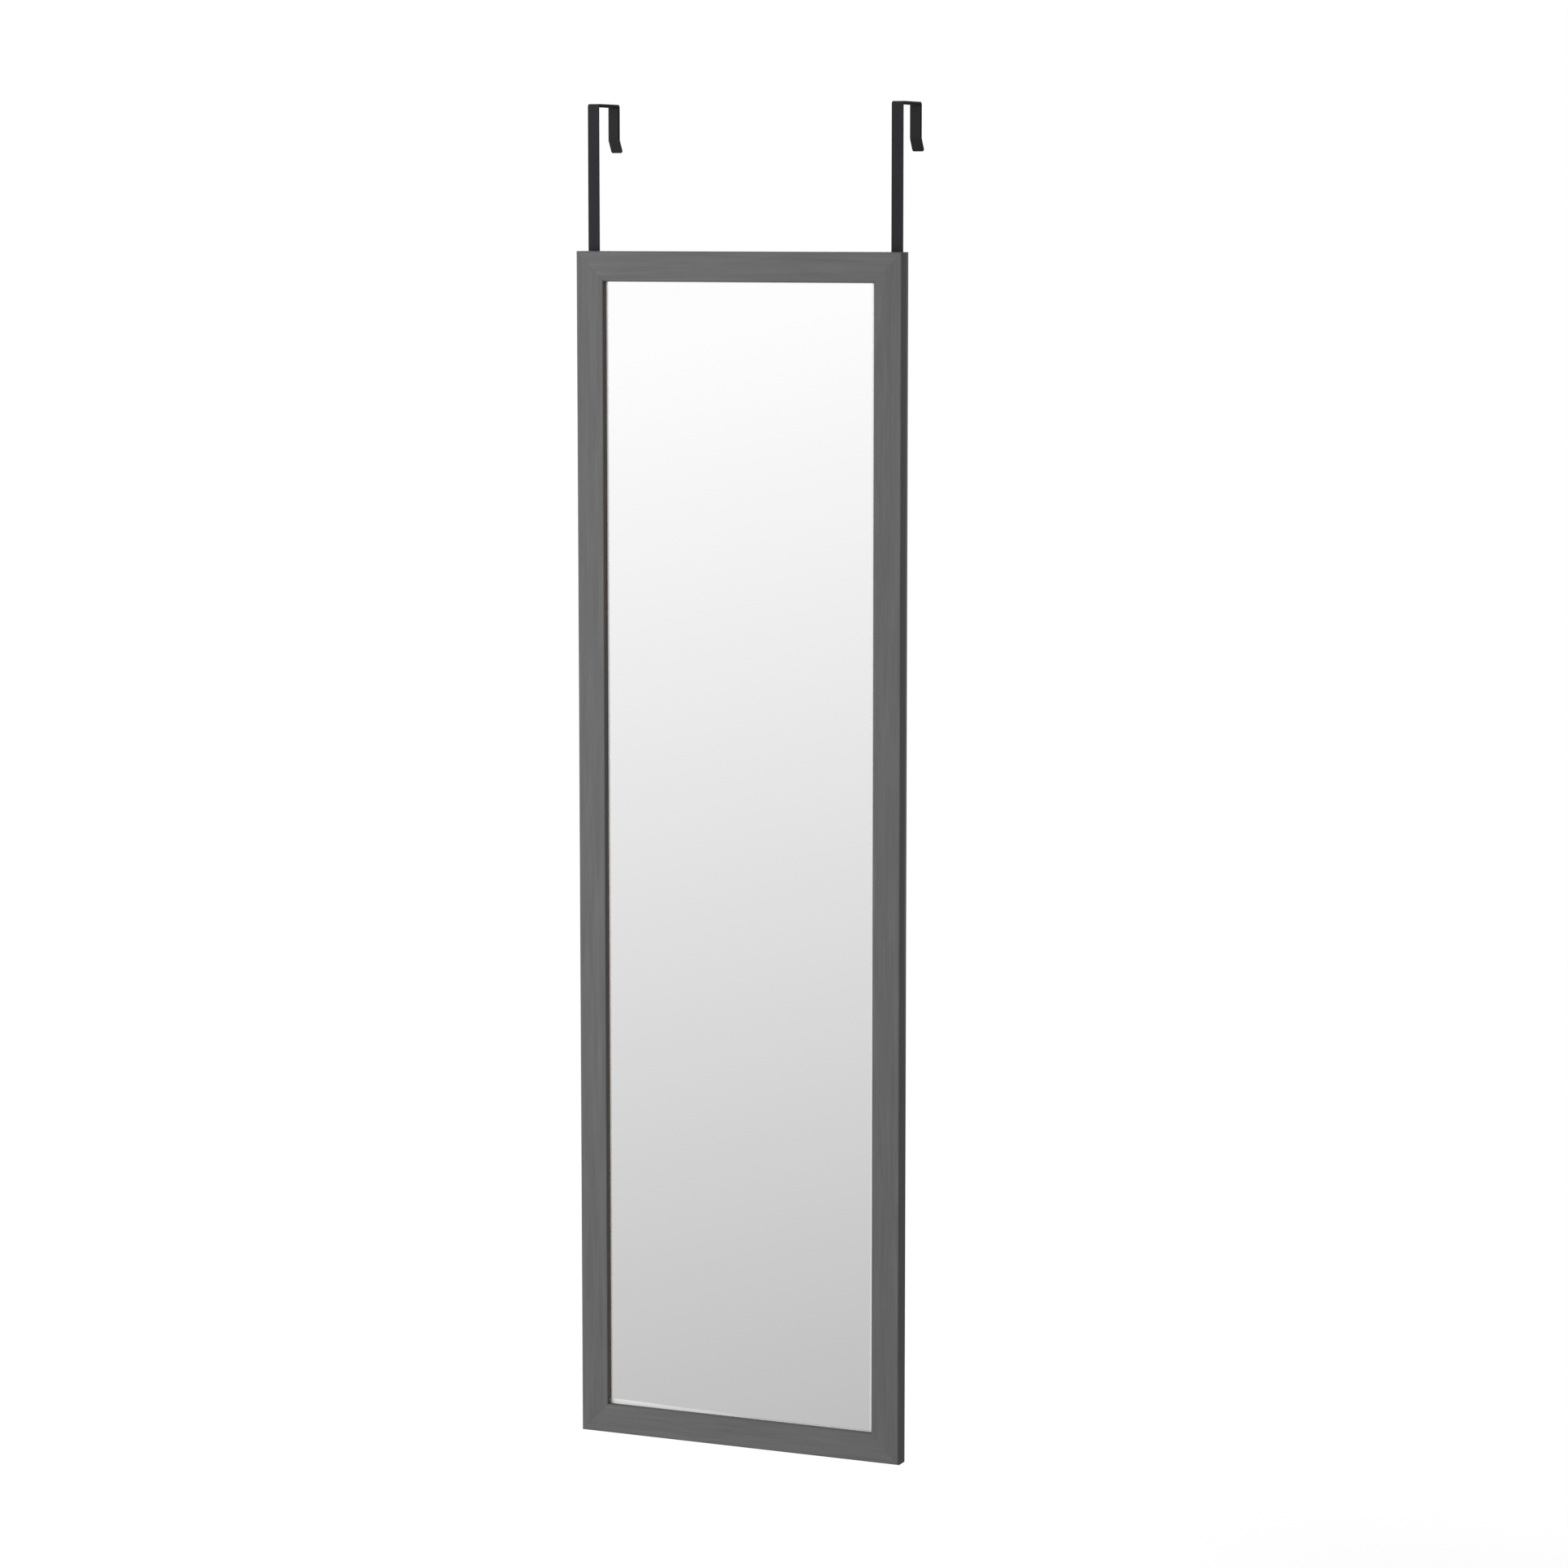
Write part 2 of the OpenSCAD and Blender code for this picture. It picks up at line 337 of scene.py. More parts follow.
# %% [markdown]
# ## Floor
#
# A door is about two metres high, so the floor lies two metres below the origin. It is a plain pale sheet
# that takes the mirror's soft shadow near its middle and turns into pure white further out, where it meets
# the white world without a seam. Seen from below it isn't there, because a view from under the mirror
# should show the mirror.

# %% Lay the floor
FLOOR_DROP = 2.0
FLOOR_HALF = 20.0
FLOOR_LIFT = 0.32
FLOOR_PALE = (0.80, 0.80, 0.80, 1.0)
FADE_START = 1.2
FADE_END = 2.4
SQUARE = ((-1, -1), (1, -1), (1, 1), (-1, 1))


def floor_finish():
    """Pale and shadowed near the middle, pure white further out, and clear from below."""
    material, recipe, place = new_finish("pale_floor")
    flat = stretched(recipe, place, (1.0, 1.0, 0.0))
    away = recipe.add("ShaderNodeVectorMath", {"operation": "LENGTH"}, {0: flat}, output="Value")
    near = recipe.add("ShaderNodeBsdfDiffuse", inputs={"Color": FLOOR_PALE})
    lift = recipe.add("ShaderNodeEmission", inputs={"Strength": FLOOR_LIFT})
    white = recipe.add("ShaderNodeEmission", inputs={"Strength": 1.0})
    lifted = recipe.add("ShaderNodeAddShader", inputs={0: near, 1: lift})
    fade = ramp(recipe, away, FADE_START, FADE_END)
    top = recipe.add("ShaderNodeMixShader", inputs={0: fade, 1: lifted, 2: white})
    clear = recipe.add("ShaderNodeBsdfTransparent")
    under = recipe.add("ShaderNodeNewGeometry").out("Backfacing")
    both = recipe.add("ShaderNodeMixShader", inputs={0: under, 1: top, 2: clear})
    recipe.add("ShaderNodeOutputMaterial", inputs={"Surface": both})
    return material


floor_mesh = bpy.data.meshes.new("floor")
floor_corners = [(x * FLOOR_HALF, y * FLOOR_HALF, -FLOOR_DROP) for x, y in SQUARE]
floor_mesh.from_pydata(floor_corners, [], [(0, 1, 2, 3)])
floor_mesh.materials.append(floor_finish())
floor = bpy.data.objects.new("floor", floor_mesh)
bpy.context.scene.collection.objects.link(floor)
floor.visible_diffuse = False
floor.visible_glossy = False
floor.visible_transmission = False
print(f"floor {FLOOR_DROP:.1f} m below the door's top edge")

# %% [markdown]
# ## Foil and fibreboard
#
# The moulding is brown fibreboard wrapped in a dark grey printed foil with an embossed wood grain. The
# foil covers the front and the outer side, and turns a few millimetres onto the back, where the bare
# board begins. On the stiles' lip it ends just short of the glass, which leaves the thin brown line that
# the photograph shows there. One finish holds both, and the place on the moulding decides which shows.
#
# The grain runs along each member, so there is one version for the stiles and one for the rails. It is
# made of three noises: a broad soft figure, fine streaks, and short dark pores. They stay faint, because
# in the photograph the foil's tone moves by no more than a few per cent. The rails' grey is a touch
# paler, which is painted light for the way the light falls along their grain. A dark hairline marks each
# mitre, and a painted highlight lightens the back edge of the outer side, fading out downwards. On the
# lip's inner side, next to the glass, foil and board are darkened with painted shade, and the last two
# millimetres of the front begin to darken already. That painted shade draws the thin dark line round the
# glass.

# %% Make the foil finish
UPRIGHT_GREY = (0.143, 0.143, 0.143, 1.0)
# The rails' grey is a touch paler than the stiles': painted light for how the light falls along their grain.
LEVEL_GREY_PAINTED_PALER = (0.153, 0.153, 0.153, 1.0)
BOARD_BROWN = (0.400, 0.320, 0.240, 1.0)
FIGURE_GRAINS = (190.0, 12.0)
STREAK_GRAINS = (800.0, 18.0)
PORE_GRAINS = (2400.0, 190.0)
PORES_FROM = 0.62
PORES_TO = 0.72
FIGURE_TONE = 0.42
STREAK_TONE = 0.26
PORE_TONE = 0.06
FIBRE_GRAINS = 2600.0
BLOTCH_GRAINS = 35.0
FOIL_ROUGH = 0.35
BOARD_ROUGH = 0.85
FOIL_RELIEF = 0.05 * MM
FOIL_ON_BACK = 7 * MM
RAGGED_GRAINS = 90.0
RAGGED_BY = 2 * MM
BARE_ON_LIP = 0.8 * MM
SHORT_OF_GLASS = 0.02 * MM
HAIRLINE = 0.25 * MM
HAIRLINE_TONE = 0.75
# A painted highlight: the back edge of the outer side is lightened, fading out towards the bottom.
PAINTED_EDGE_LIGHT_FROM = 10.5 * MM
PAINTED_EDGE_LIGHT_TO = 13.0 * MM
PAINTED_EDGE_LIGHT_WIDE = 0.5 * MM
PAINTED_EDGE_LIGHT_TONE = 1.1
PAINTED_EDGE_LIGHT_LOW = MIDDLE - 0.24
PAINTED_EDGE_LIGHT_HIGH = MIDDLE - 0.06
# Painted shade: foil and board darken on the lip's inner side and on the last millimetres of the front next
# to the glass.
PAINTED_LIP_SHADE_FROM = 0.1 * MM
PAINTED_LIP_SHADE_TO = 1.6 * MM
PAINTED_LIP_SHADE_WIDE = 2.2 * MM
PAINTED_LIP_SHADE_FULL = 0.8 * MM
PAINTED_LIP_SHADE_FRONT = 0.45
PAINTED_LIP_SHADE_DARK = 0.50


def foil_finish(name, along, grey, bare):
    """Wood grain foil over fibreboard, with its grain along axis 0 or 2 and a bare strip on the lip."""
    material, recipe, place = new_finish(name)
    x, y, z = coordinates(recipe, place)
    from_side = HALF_WIDTH - abs(x)
    from_end = HALF_HEIGHT - abs(z - MIDDLE)
    inset = from_end if along == 0 else from_side
    depth = y - FRONT

    def grain(counts, **settings):
        per_metre = [counts[0]] * 3
        per_metre[along] = counts[1]
        return noise(recipe, place, tuple(per_metre), **settings)

    figure = grain(FIGURE_GRAINS, detail=3.0, distortion=0.5)
    streak = grain(STREAK_GRAINS)
    pore = ramp(recipe, grain(PORE_GRAINS, detail=0.0), PORES_FROM, PORES_TO)
    print_tone = 1.0 + (figure - 0.5) * FIGURE_TONE + (streak - 0.5) * STREAK_TONE - pore * PORE_TONE

    # painted highlight along the outer side's back edge, fading out towards the bottom
    painted_edge_light = ramp(recipe, depth, PAINTED_EDGE_LIGHT_FROM, PAINTED_EDGE_LIGHT_TO) * (inset < PAINTED_EDGE_LIGHT_WIDE)
    painted_edge_light = painted_edge_light * ramp(recipe, z, PAINTED_EDGE_LIGHT_LOW, PAINTED_EDGE_LIGHT_HIGH)
    # painted shade on the lip's inner side and the front's edge next to the glass
    painted_lip_shade = ramp(recipe, depth, PAINTED_LIP_SHADE_FROM, PAINTED_LIP_SHADE_TO, PAINTED_LIP_SHADE_FRONT, 1.0)
    painted_lip_shade = painted_lip_shade * ramp(recipe, inset, FACE - PAINTED_LIP_SHADE_WIDE, FACE - PAINTED_LIP_SHADE_FULL)
    hairline = ramp(recipe, abs(from_side - from_end), 0.5 * HAIRLINE, HAIRLINE, HAIRLINE_TONE, 1.0)
    foil_tone = (print_tone + painted_edge_light * PAINTED_EDGE_LIGHT_TONE) * (1.0 - painted_lip_shade * PAINTED_LIP_SHADE_DARK)
    foil = toned(recipe, grey, foil_tone * hairline)

    fibre = noise(recipe, place, even(FIBRE_GRAINS), detail=3.0)
    blotch = noise(recipe, place, even(BLOTCH_GRAINS))
    board_tone = (0.55 + fibre * 0.6 + blotch * 0.3) * (1.0 - painted_lip_shade * PAINTED_LIP_SHADE_DARK)
    board = toned(recipe, BOARD_BROWN, board_tone * hairline)

    ragged = (noise(recipe, place, even(RAGGED_GRAINS)) - 0.5) * RAGGED_BY
    over_lip = depth < LIP - bare - SHORT_OF_GLASS
    wrapped = over_lip.math("MAXIMUM", inset + ragged < FOIL_ON_BACK)
    foil_height = streak * 0.6 - pore * 0.5 + figure * 0.3
    height = fibre + wrapped * (foil_height - fibre)
    end_finish(
        recipe,
        Base_Color=mixed(recipe, wrapped, board, foil),
        Roughness=BOARD_ROUGH + wrapped * (streak * 0.20 - (BOARD_ROUGH - FOIL_ROUGH)),
        Specular_IOR_Level=LOW_SHEEN,
        Normal=relief(recipe, height, FOIL_RELIEF),
    )
    return material


upright_foil = foil_finish("upright_foil", along=2, grey=UPRIGHT_GREY, bare=BARE_ON_LIP)
level_foil = foil_finish("level_foil", along=0, grey=LEVEL_GREY_PAINTED_PALER, bare=0.0)
print("foil finishes:", upright_foil.name, level_foil.name)

# %% [markdown]
# ## Frame
#
# The solids of the four members already have the lip, the rebate, the rounded arrises, the mitres and the
# slots of every nail, so they stay as they are and only take the finish.

# %% Finish the frame
def dress(node, finish):
    """Gives a loaded solid a finish."""
    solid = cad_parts[node]
    solid.data.materials.clear()
    solid.data.materials.append(finish)


for side in ("left", "right"):
    dress(f"frame_stile_{side}", upright_foil)
for end in ("top", "bottom"):
    dress(f"frame_rail_{end}", level_foil)
print("frame members finished: 4")

# %% [markdown]
# ## Ways to make a mesh
#
# Three small helpers make most of the new shapes. A slab is a box with rounded edges, for anything cut
# from sheet. A skin runs through a row of rings, which suits whatever is forged or pressed. A turned skin
# works out its rings from radii, for screws and bumpers.

# %% Define the ways to make a mesh
SHARP_FROM = math.radians(35)
SQUARE_ON = 0.9999


def new_piece(name, mesh, finishes, slot_name, *nodes):
    """A finished piece of the mirror that stands for some of the loaded solids."""
    for finish in finishes:
        mesh.materials.append(finish)
    piece = bpy.data.objects.new(name, mesh)
    bpy.context.scene.collection.objects.link(piece)
    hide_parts(*nodes)
    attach(piece, "root")
    return piece


def mesh_from(name, shape):
    """Turns a bmesh into a mesh that faces outwards, smooth where it bends and flat where it is flat."""
    bmesh.ops.recalc_face_normals(shape, faces=shape.faces)
    mesh = bpy.data.meshes.new(name)
    shape.to_mesh(mesh)
    shape.free()
    mesh.set_sharp_from_angle(angle=SHARP_FROM)
    for face in mesh.polygons:
        face.use_smooth = max(abs(part) for part in face.normal) < SQUARE_ON
    return mesh


def slab(name, low, high, radius, segments=2):
    """A box between two corners, with all its edges rounded."""
    shape = bmesh.new()
    bmesh.ops.create_cube(shape, size=1.0)
    for corner in shape.verts:
        for axis in range(3):
            corner.co[axis] = high[axis] if corner.co[axis] > 0 else low[axis]
    bmesh.ops.bevel(
        shape, geom=shape.edges[:], offset=radius, segments=segments, profile=0.5, affect="EDGES"
    )
    return mesh_from(name, shape)


def skin(name, rings):
    """A closed surface through rings of as many points each, with a flat cap at either end."""
    shape = bmesh.new()
    loops = [[shape.verts.new(point) for point in ring] for ring in rings]
    count = len(loops[0])
    shape.faces.new(loops[0])
    shape.faces.new(loops[-1])
    for near, far in zip(loops, loops[1:]):
        for i in range(count):
            j = (i + 1) % count
            shape.faces.new((near[i], near[j], far[j], far[i]))
    return mesh_from(name, shape)


def turned_skin(name, sides, levels, x=0.0, z=0.0):
    """A skin about the line through x and z, from levels that hold a Y and a radius for each side."""
    angles = [2 * math.pi * side / sides for side in range(sides)]
    rings = []
    for y, radii in levels:
        rings.append([(x + r * math.cos(a), y, z + r * math.sin(a)) for r, a in zip(radii, angles)])
    return skin(name, rings)


print("mesh helpers are ready")

# %% [markdown]
# ## Mirror glass
#
# A mirror is a sheet of float glass with silver and grey paint on its back. It could be made as clear
# glass over a silver layer, but a clear sheet keeps the lamps off everything behind it, and throws a
# black line in under the frame's lip. So one sheet stands for both. Its silvered face is set back a
# little from the lip, because silver looks that far away when it is seen through the glass. The eye then
# looks in under the lip, and sees its brown edge and its blurred image, as in the photograph.
#
# Close to the lip a mirror is never quite clean, because a cloth doesn't reach the corner. The film of
# dust there is made with more roughness and a little less metal. It is thickest about a millimetre out,
# because the lip shelters the glass right beside it, and fades out over a few millimetres more. It stays
# grey next to the left lip, which keeps the light off it, and none lies under the upper lip. On the lower
# one it settles as a thin white drift, highest in the left corner and gone halfway across, where the film
# ends too. That is the bright line that the photograph shows there.

# %% Make the mirror
GLASS_ARRIS = 0.3 * MM
SET_BACK = 1.2 * MM
SILVER = (0.980, 0.980, 0.980, 1.0)
DUST_PALE = (0.960, 0.945, 0.920, 1.0)
PAINT_GREY = (0.170, 0.180, 0.185, 1.0)
DUST_CREST = 1.3 * MM
DUST_WIDE = 4.4 * MM
DUST_ROUGH = 0.50
DUST_SHARE = 0.42
WIPED_FROM = 100 * MM
WIPED_TO = 200 * MM
DRIFT_HIGH = 5.0 * MM
DRIFT_LOW = 0.8 * MM
DRIFT_LONG = 165 * MM
DRIFT_FULL_TO = 0.8
DRIFT_GONE_AT = 1.1
DRIFT_SHARE = 0.62
FILM_GRAINS = 9.0
FILM_FROM = 0.55
FILM_TO = 0.80
FILM_ROUGH = 0.012
STIPPLE_GRAINS = 1200.0
STIPPLE_DEEP = 0.02 * MM
FACES_FRONT = -0.1


def silver_finish():
    """Silvered glass with dust next to the lip, and with hardly any elsewhere."""
    material, recipe, place = new_finish("silvered_glass")
    x, _, z = coordinates(recipe, place)
    from_left = x + (HALF_WIDTH - FACE)
    from_side = HALF_WIDTH - FACE - abs(x)
    from_below = z - (MIDDLE - HALF_HEIGHT + FACE)
    wiped = ramp(recipe, from_left, WIPED_FROM, WIPED_TO, 0.0, DUST_WIDE)
    inside = from_side.math("MINIMUM", from_below + wiped)
    dust = ramp(recipe, inside, 0.0, DUST_CREST) * ramp(recipe, inside, DUST_CREST, DUST_WIDE, 1.0, 0.0)
    high = ramp(recipe, from_left, 0.0, DRIFT_LONG, DRIFT_HIGH, DRIFT_LOW)
    drift = ramp(recipe, from_below, high * DRIFT_FULL_TO, high * DRIFT_GONE_AT, 1.0, 0.0)
    film = ramp(recipe, noise(recipe, place, even(FILM_GRAINS), detail=4.0), FILM_FROM, FILM_TO)
    end_finish(
        recipe,
        Base_Color=mixed(recipe, dust, SILVER, DUST_PALE),
        Metallic=1.0 - (dust * DUST_SHARE).math("MAXIMUM", drift * DRIFT_SHARE),
        Roughness=dust.math("MAXIMUM", drift) * DUST_ROUGH + film * FILM_ROUGH,
    )
    return material


def backing_paint_finish():
    """Grey paint rolled over the silver."""
    material, recipe, place = new_finish("backing_paint")
    stipple = noise(recipe, place, even(STIPPLE_GRAINS), detail=3.0)
    end_finish(
        recipe,
        Base_Color=toned(recipe, PAINT_GREY, 0.85 + stipple * 0.3),
        Roughness=0.5 + stipple * 0.2,
        Normal=relief(recipe, stipple, STIPPLE_DEEP),
    )
    return material


silver_low = pane_low + Vector((0, SET_BACK, 0))
mirror_mesh = slab("mirror_sheet", silver_low, pane_high, GLASS_ARRIS)
for face in mirror_mesh.polygons:
    face.material_index = 0 if face.normal.y < FACES_FRONT else 1
mirror_sides = [silver_finish(), backing_paint_finish()]
new_piece("mirror_sheet", mirror_mesh, mirror_sides, "mirror_glass", "mirror_pane")
print(f"mirror's face {(silver_low.y - FRONT) / MM:.1f} mm behind the frame's front")

# %% [markdown]
# ## Foam sheet and hardboard
#
# Behind the glass lies a thin sheet of white foam, which takes up small errors and keeps grit off the
# paint, and then a hardboard back. The board's outer face bears the print of the wire screen that it was
# pressed on, so its finish is a fine waffle with loose fibres in it. The foam is a soft thing, so it gets
# rounded edges in place of the solid's sharp ones.

# %% Make the foam sheet and finish the hardboard
FOAM_WHITE = (0.80, 0.81, 0.82, 1.0)
FOAM_ROUND = 0.6 * MM
WHITE_PORES = 700.0
FOAM_SHADES = 40.0
PORE_DEEP = 0.12 * MM
HARDBOARD_BROWN = (0.205, 0.112, 0.056, 1.0)
HARDBOARD_FIBRES = (900.0, 900.0, 260.0)
HARDBOARD_BLOTCHES = 14.0
SCREEN_PITCH = 1.3 * MM
SCREEN_DEEP = 0.12 * MM


def foam_finish(name, colour, pores_per_metre):
    """Closed cell foam: a matte skin full of fine pores."""
    material, recipe, place = new_finish(name)
    pore = cells(recipe, place, pores_per_metre)
    shade = noise(recipe, place, even(FOAM_SHADES))
    end_finish(
        recipe,
        Base_Color=toned(recipe, colour, 0.75 + pore * 0.3 + shade * 0.2),
        Roughness=0.80 + pore * 0.15,
        Specular_IOR_Level=LOW_SHEEN,
        Normal=relief(recipe, pore, PORE_DEEP),
    )
    return material


def hardboard_finish():
    """Brown hardboard with the print of its wire screen."""
    material, recipe, place = new_finish("hardboard")
    x, _, z = coordinates(recipe, place)
    turns = 2 * math.pi / SCREEN_PITCH
    waffle = (x * turns).math("SINE") * (z * turns).math("SINE") * 0.5 + 0.5
    fibre = noise(recipe, place, HARDBOARD_FIBRES, detail=4.0, distortion=1.5)
    blotch = noise(recipe, place, even(HARDBOARD_BLOTCHES), detail=3.0)
    tone = 0.45 + fibre * 0.55 + blotch * 0.40 + waffle * 0.10
    end_finish(
        recipe,
        Base_Color=toned(recipe, HARDBOARD_BROWN, tone),
        Roughness=0.62 + fibre * 0.25,
        Normal=relief(recipe, waffle * 0.6 + fibre * 0.6, SCREEN_DEEP),
    )
    return material


foam_low, foam_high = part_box("foam_sheet")
foam = new_piece(
    "white_foam_sheet",
    slab("white_foam_sheet", foam_low, foam_high, FOAM_ROUND, segments=3),
    [foam_finish("white_foam", FOAM_WHITE, WHITE_PORES)],
    "white_foam",
    "foam_sheet",
)
dress("backing_board", hardboard_finish())
print(f"foam sheet {(foam_high.y - foam_low.y) / MM:.0f} mm thick, hardboard finished")

# %% [markdown]
# ## Hooks
#
# Each hook is a flat steel strap, bent three times and powder coated in satin black. The solids have the
# right bends, but their triangles are loose. So a copy joins them into whole flat faces, and a Bevel
# breaks the strap's sharp outer edges by a fraction of a millimetre. Those edges are what catch the light
# on real strap steel. A Bevel makes a mess of a face with a hole in it, so the copy is first split along
# its centre line, which runs through the screw holes, and a seam keeps the halves apart. The coat is
# baked powder, which leaves a fine orange peel rather than a polish.

# %% Make the hooks
POWDER_BLACK = (0.0162, 0.0163, 0.0205, 1.0)
PEEL_GRAINS = 1100.0
SPECK_GRAINS = 5200.0
CLOUD_GRAINS = 30.0
PEEL_DEEP = 0.03 * MM
STRAP_EDGE = 0.35 * MM
BESIDE_HOLE = 0.5 * MM
WELD = 0.001 * MM
STILL_FLAT = math.radians(1)
SHARP_BEND = math.radians(40)

hook_low, hook_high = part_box("hook_left")
hook_centre = (hook_low.x + hook_high.x) / 2
screws_low, screws_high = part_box("hook_screws")
head_radius = screws_high.x - abs(hook_centre)


def powder_coat_finish():
    """Satin black powder coat."""
    material, recipe, place = new_finish("powder_coat")
    peel = noise(recipe, place, even(PEEL_GRAINS), detail=1.0)
    speck = noise(recipe, place, even(SPECK_GRAINS), detail=1.0)
    cloud = noise(recipe, place, even(CLOUD_GRAINS))
    end_finish(
        recipe,
        Base_Color=toned(recipe, POWDER_BLACK, 0.7 + cloud * 0.35 + speck * 0.25),
        Roughness=0.34 + peel * 0.14,
        Specular_IOR_Level=LOW_SHEEN,
        Normal=relief(recipe, peel * 0.8 + speck * 0.2, PEEL_DEEP),
    )
    return material


def bent_strap(name, node):
    """A copy of a hook's solid in two halves with whole flat faces, its outer edges marked for a bevel."""
    centre = sum(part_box(node), Vector()) / 2
    shape = bmesh.new()
    shape.from_mesh(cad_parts[node].data)
    bmesh.ops.remove_doubles(shape, verts=shape.verts[:], dist=WELD)
    parts = shape.verts[:] + shape.edges[:] + shape.faces[:]
    split = bmesh.ops.bisect_plane(shape, geom=parts, dist=WELD, plane_co=centre, plane_no=(1, 0, 0))
    for part in split["geom_cut"]:
        if isinstance(part, bmesh.types.BMEdge):
            part.seam = True
    flat = {"angle_limit": STILL_FLAT, "delimit": {"SEAM"}}
    bmesh.ops.dissolve_limit(shape, verts=shape.verts[:], edges=shape.edges[:], **flat)
    shape.normal_update()
    weight = shape.edges.layers.float.new("bevel_weight_edge")
    for edge in shape.edges:
        reach = max(abs(end.co.x - centre.x) for end in edge.verts)
        outer = reach > head_radius + BESIDE_HOLE
        if outer and edge.calc_face_angle() > SHARP_BEND:
            edge[weight] = 1.0
    return mesh_from(name, shape)


powder_coat = powder_coat_finish()
for side in ("left", "right"):
    name = f"{side}_hook"
    node = f"hook_{side}"
    hook = new_piece(name, bent_strap(name, node), [powder_coat], "black_steel", node)
    edges = hook.modifiers.new("broken_edges", "BEVEL")
    edges.width = STRAP_EDGE
    edges.segments = 2
    edges.limit_method = "WEIGHT"
    edges.use_clamp_overlap = False
    edges.harden_normals = True
print("hooks: 2, edges broken by", STRAP_EDGE / MM, "mm")

# %% [markdown]
# ## Laying out what repeats
#
# Screws, glazing points and nails all repeat in the same way: a straight row of equal copies, and a second
# row opposite it, turned by half a turn about the middle. So one Geometry Nodes tree lays out all three. A
# line of points carries the copies, the set is joined with itself turned about a centre, and the result is
# made real geometry, because instances don't survive the export.

# %% Build the layout tree
LAYOUT_INPUTS = {
    "Shape": "NodeSocketGeometry",
    "First": "NodeSocketVector",
    "Step": "NodeSocketVector",
    "Count": "NodeSocketInt",
    "Turn": "NodeSocketFloat",
    "Centre": "NodeSocketVector",
    "Finish": "NodeSocketMaterial",
}


def layout_tree():
    """Two facing rows of copies of the shape that comes in."""
    tree = bpy.data.node_groups.new("two_facing_rows", "GeometryNodeTree")
    for name, kind in LAYOUT_INPUTS.items():
        tree.interface.new_socket(name, in_out="INPUT", socket_type=kind)
    tree.interface.new_socket("Laid out", in_out="OUTPUT", socket_type="NodeSocketGeometry")
    recipe = Recipe(tree)
    given = recipe.add("NodeGroupInput")
    line = recipe.add(
        "GeometryNodeMeshLine",
        {"mode": "OFFSET"},
        {"Count": given.out("Count"), "Start Location": given.out("First"), "Offset": given.out("Step")},
    )
    turned = recipe.add("ShaderNodeCombineXYZ", inputs={"Y": given.out("Turn")})
    copies = {"Points": line, "Instance": given.out("Shape"), "Rotation": turned}
    row = recipe.add("GeometryNodeInstanceOnPoints", inputs=copies)
    shift = recipe.add("ShaderNodeVectorMath", {"operation": "SCALE"}, {0: given.out("Centre"), "Scale": 2.0})
    opposite = recipe.add(
        "GeometryNodeTransform",
        inputs={"Geometry": row, "Translation": shift, "Rotation": (0.0, math.pi, 0.0)},
    )
    both = recipe.add("GeometryNodeJoinGeometry", inputs={"Geometry": [row, opposite]})
    real = recipe.add("GeometryNodeRealizeInstances", inputs={"Geometry": both})
    finished = recipe.add(
        "GeometryNodeSetMaterial", inputs={"Geometry": real, "Material": given.out("Finish")}
    )
    recipe.add("NodeGroupOutput", inputs={"Laid out": finished})
    return tree


LAYOUT = layout_tree()


def laid_out(shape, values):
    """A mesh with the shape repeated as the values say."""
    carrier = bpy.data.objects.new("carrier", shape)
    bpy.context.scene.collection.objects.link(carrier)
    modifier = carrier.modifiers.new("layout", "NODES")
    modifier.node_group = LAYOUT
    for socket in LAYOUT.interface.items_tree:
        if socket.name in values:
            modifier[socket.identifier] = values[socket.name]
    evaluated = carrier.evaluated_get(bpy.context.evaluated_depsgraph_get())
    mesh = bpy.data.meshes.new_from_object(evaluated)
    bpy.data.objects.remove(carrier)
    return mesh


def together(name, meshes):
    """Several meshes of one finish as one."""
    shape = bmesh.new()
    for mesh in meshes:
        shape.from_mesh(mesh)
    joined = mesh_from(name, shape)
    for finish in meshes[0].materials:
        joined.materials.append(finish)
    return joined


print("layout inputs:", ", ".join(LAYOUT_INPUTS))

# %% [markdown]
# ## Screws
#
# Two countersunk screws hold each hook to its stile. A screw is a turned shape, so it is a skin through
# rings whose radius follows the head, the thread and the point. The thread needs no extra parts: a ring's
# radius goes up and down once per turn, and the phase moves along the screw, which makes a helix. The
# cross recess is cut afterwards with a tapered cross, as the punch does it.

# %% Make the screws
SCREW_RADIUS = 1.5 * MM
HEAD_HIGH = 1.5 * MM
HEAD_EDGE_WIDE = 0.15 * MM
HEAD_EDGE_HIGH = 0.1 * MM
SHANK_PLAIN = 1.0 * MM
TIP_LONG = 2.5 * MM
TIP_BLUNT = 0.06
THREAD_PITCH = 1.2 * MM
THREAD_DEEP = 0.38 * MM
THREAD_STEEP = 2.2
RINGS_PER_TURN = 8
SCREW_SIDES = 32
RECESS_SPAN = 3.4 * MM
RECESS_WIDE = 0.9 * MM
RECESS_DEEP = 1.1 * MM
RECESS_STATIONS = ((-0.2 * MM, 1.0, 1.0), (0.65 * RECESS_DEEP, 0.6, 0.8), (RECESS_DEEP, 0.12, 0.3))
ZINC = (0.560, 0.570, 0.585, 1.0)
ZINC_CLOUDS = 220.0
BARREL_MARKS = (4200.0, 900.0, 600.0)
BARREL_MARK_DEEP = 0.01 * MM


def zinc_finish():
    """Bright zinc plating with the faint marks of the plating barrel."""
    material, recipe, place = new_finish("zinc")
    cloud = noise(recipe, place, even(ZINC_CLOUDS), detail=3.0)
    scratch = noise(recipe, place, BARREL_MARKS, detail=1.0)
    end_finish(
        recipe,
        Base_Color=toned(recipe, ZINC, 0.85 + cloud * 0.3),
        Metallic=1.0,
        Roughness=0.22 + cloud * 0.16 + scratch * 0.08,
        Normal=relief(recipe, scratch, BARREL_MARK_DEEP),
    )
    return material


